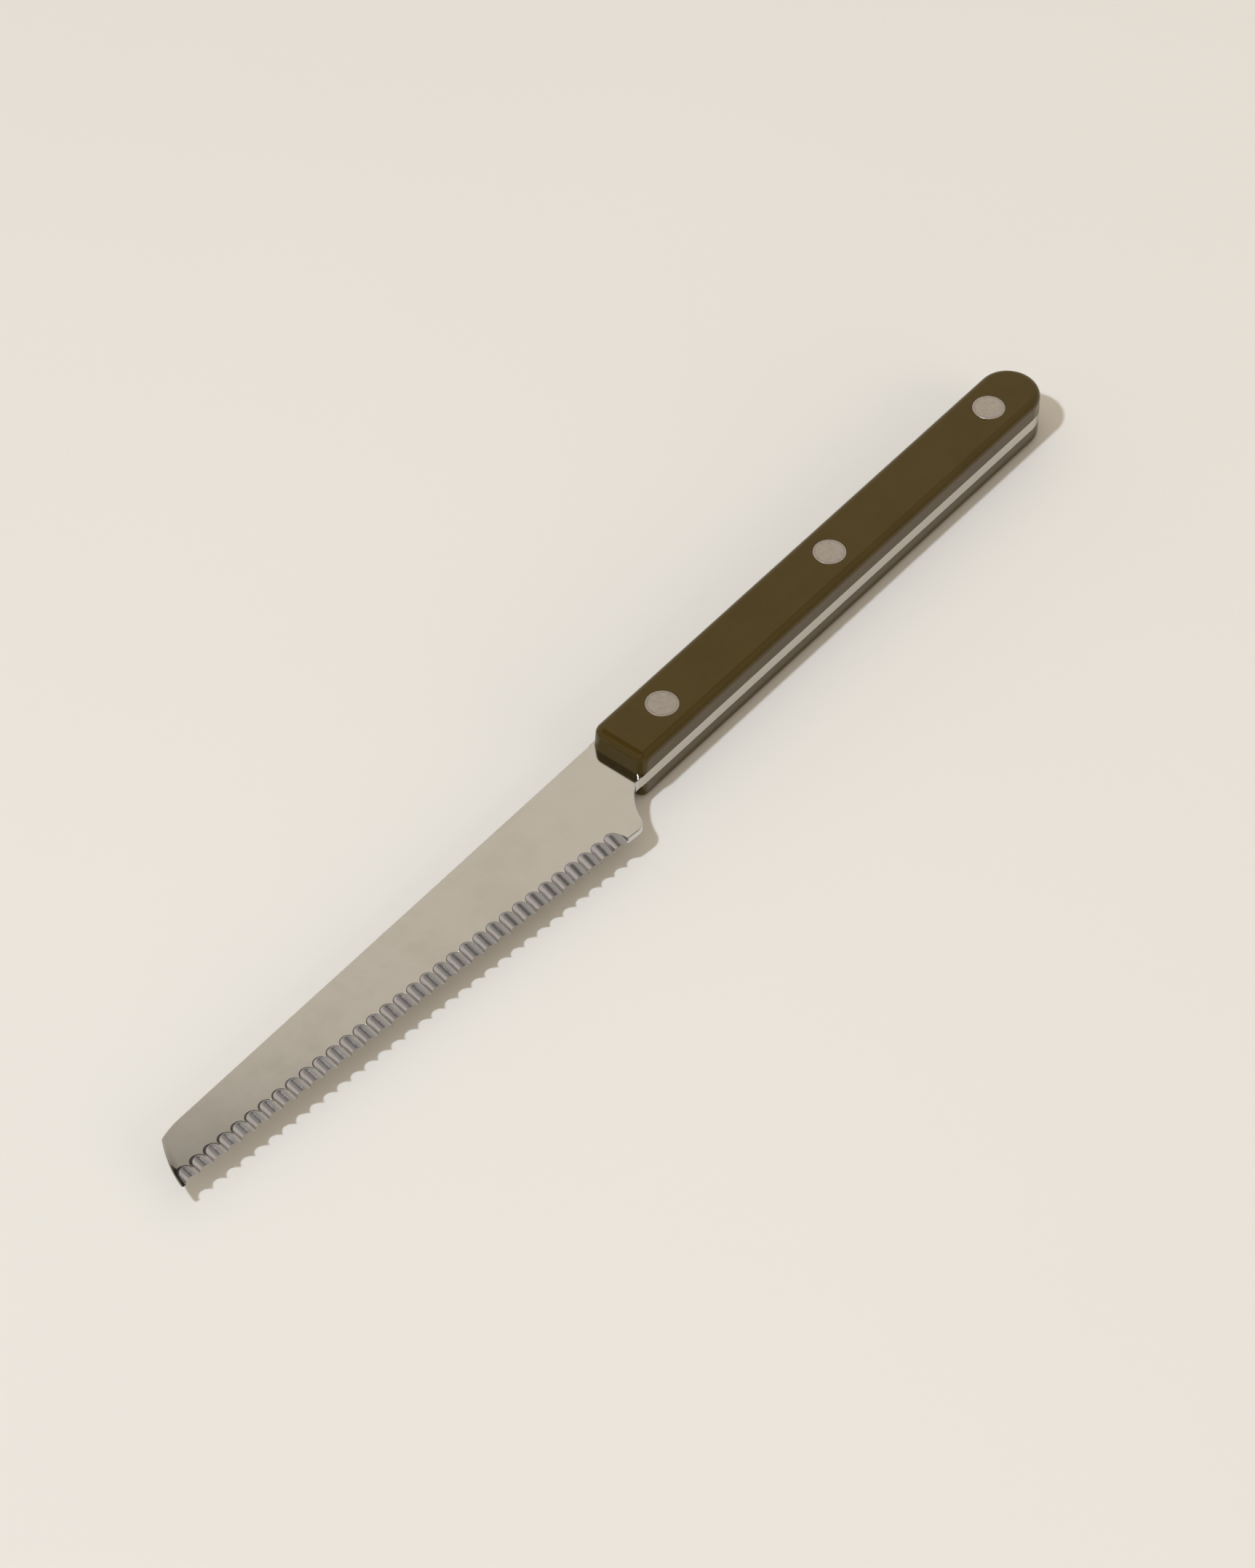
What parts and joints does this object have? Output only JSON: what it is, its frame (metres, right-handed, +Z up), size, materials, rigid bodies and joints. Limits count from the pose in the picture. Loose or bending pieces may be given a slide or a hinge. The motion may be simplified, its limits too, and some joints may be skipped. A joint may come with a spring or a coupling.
{
  "type": "tomato knife",
  "caption": "Small kitchen knife for slicing tomatoes: full-tang steel blade with a scalloped edge and a slanted blunt end, riveted glossy plastic handle scales.",
  "frame": {"origin": "middle of the knife's bounding box in plan, on the plane the knife lies on, which is the lower scale's flat outer face", "axes": "+X along the handle towards the butt, so the tip points to -X; +Y from the scalloped edge to the blade's back; +Z up through the handle's thickness, out of the upper scale"},
  "size_m": [0.2305, 0.0186, 0.0105],
  "materials": {
    "blade_steel": "fine satin polish, scallops ground brighter and bluer",
    "handle_plastic": "glossy dark olive brown, moulded and polished",
    "rivet_metal": "satin, finely mottled, ground flush with the handle"
  },
  "bodies": {
    "root": {"blade_and_tang": "blade_steel", "upper_scale": "handle_plastic", "lower_scale": "handle_plastic", "front_rivet_post": "rivet_metal", "front_rivet_sleeve": "rivet_metal", "middle_rivet_post": "rivet_metal", "middle_rivet_sleeve": "rivet_metal", "rear_rivet_post": "rivet_metal", "rear_rivet_sleeve": "rivet_metal"}
  },
  "joints": []
}
